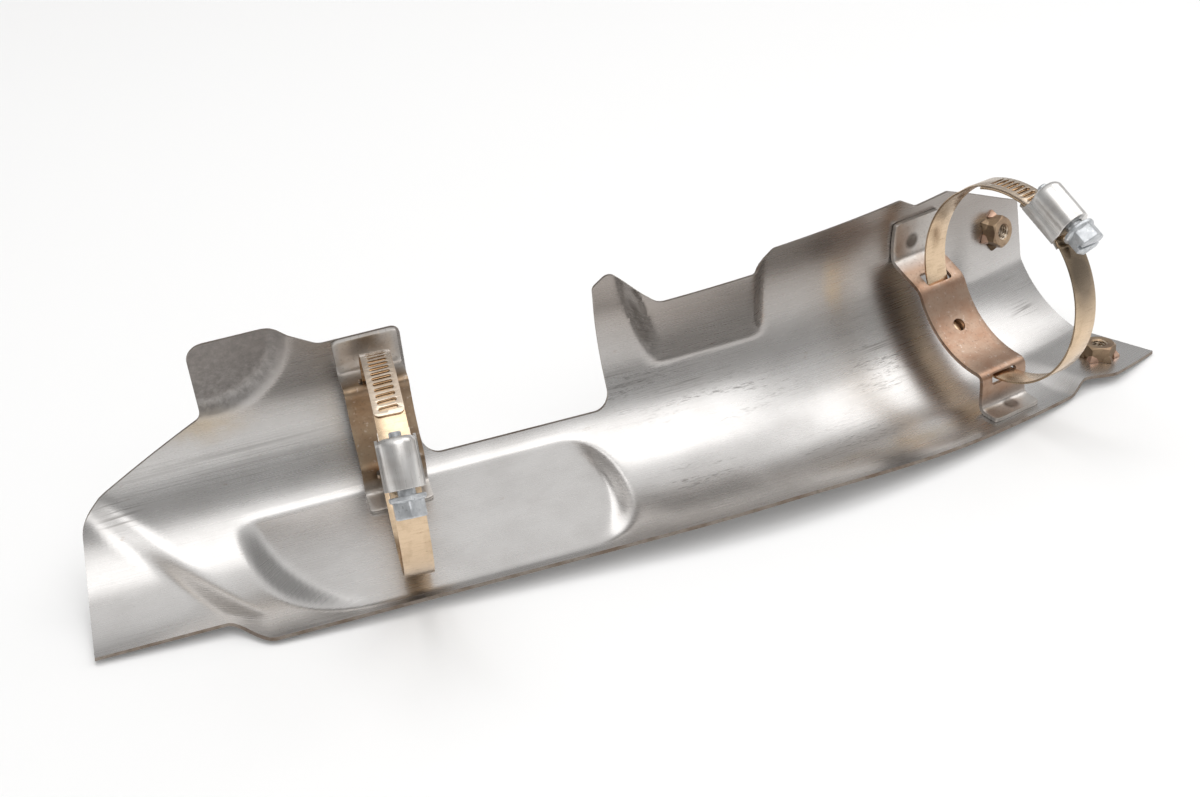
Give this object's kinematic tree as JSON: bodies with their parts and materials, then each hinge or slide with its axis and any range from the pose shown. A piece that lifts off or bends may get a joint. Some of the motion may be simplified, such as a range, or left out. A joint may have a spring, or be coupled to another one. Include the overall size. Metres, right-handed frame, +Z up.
{
  "type": "exhaust heat shield",
  "caption": "Pressed steel trough that shields a bent exhaust pipe, with slotted saddles, worm-drive pipe clamps and weld nuts.",
  "frame": {"origin": "centre of the bounding box at its base, on the surface that the shield lies on", "axes": "+Z up as it lies; +X along the trough to the bent end; the trough opens towards -Y and up"},
  "size_m": [0.3271, 0.1052, 0.0796],
  "materials": {
    "shield_steel": "satin stainless sheet with fine drawing scratches",
    "saddle_steel": "steel strip with a brown heat tint",
    "nut_steel": "bronze-brown steel with coppery corners",
    "band_steel": "polished steel band with a straw-gold tint",
    "housing_steel": "satin pressed steel",
    "screw_zinc": "dull grey zinc plating"
  },
  "bodies": {
    "shield": {"heat_shield": "shield_steel", "left_saddle": "saddle_steel", "right_saddle": "saddle_steel", "upper_weld_nut": "nut_steel", "lower_weld_nut": "nut_steel"},
    "left_clamp": {"left_clamp_band": "band_steel", "left_clamp_housing": "housing_steel", "left_clamp_plate": "housing_steel"},
    "left_screw": {"left_clamp_screw": "screw_zinc"},
    "right_clamp": {"right_clamp_band": "band_steel", "right_clamp_housing": "housing_steel", "right_clamp_plate": "housing_steel"},
    "right_screw": {"right_clamp_screw": "screw_zinc"}
  },
  "joints": [
    {"name": "left_clamp_turn", "type": "hinge", "parent": "shield", "child": "left_clamp", "pos_m": [-0.07628, -0.01337, 0.04119], "axis": [0.9912, -0.1292, 0.027], "range_deg": [-95, 70]},
    {"name": "left_screw_turn", "type": "hinge", "parent": "left_clamp", "child": "left_screw", "pos_m": [-0.08055, -0.04235, 0.05923], "axis": [-0.045, -0.5231, -0.8511], "continuous": true},
    {"name": "right_clamp_turn", "type": "hinge", "parent": "shield", "child": "right_clamp", "pos_m": [0.10929, -0.00345, 0.04283], "axis": [0.9436, 0.3238, -0.0698], "range_deg": [-80, 90]},
    {"name": "right_screw_turn", "type": "hinge", "parent": "right_clamp", "child": "right_screw", "pos_m": [0.11674, -0.01892, 0.07172], "axis": [0.2462, -0.8266, -0.5061], "continuous": true}
  ]
}
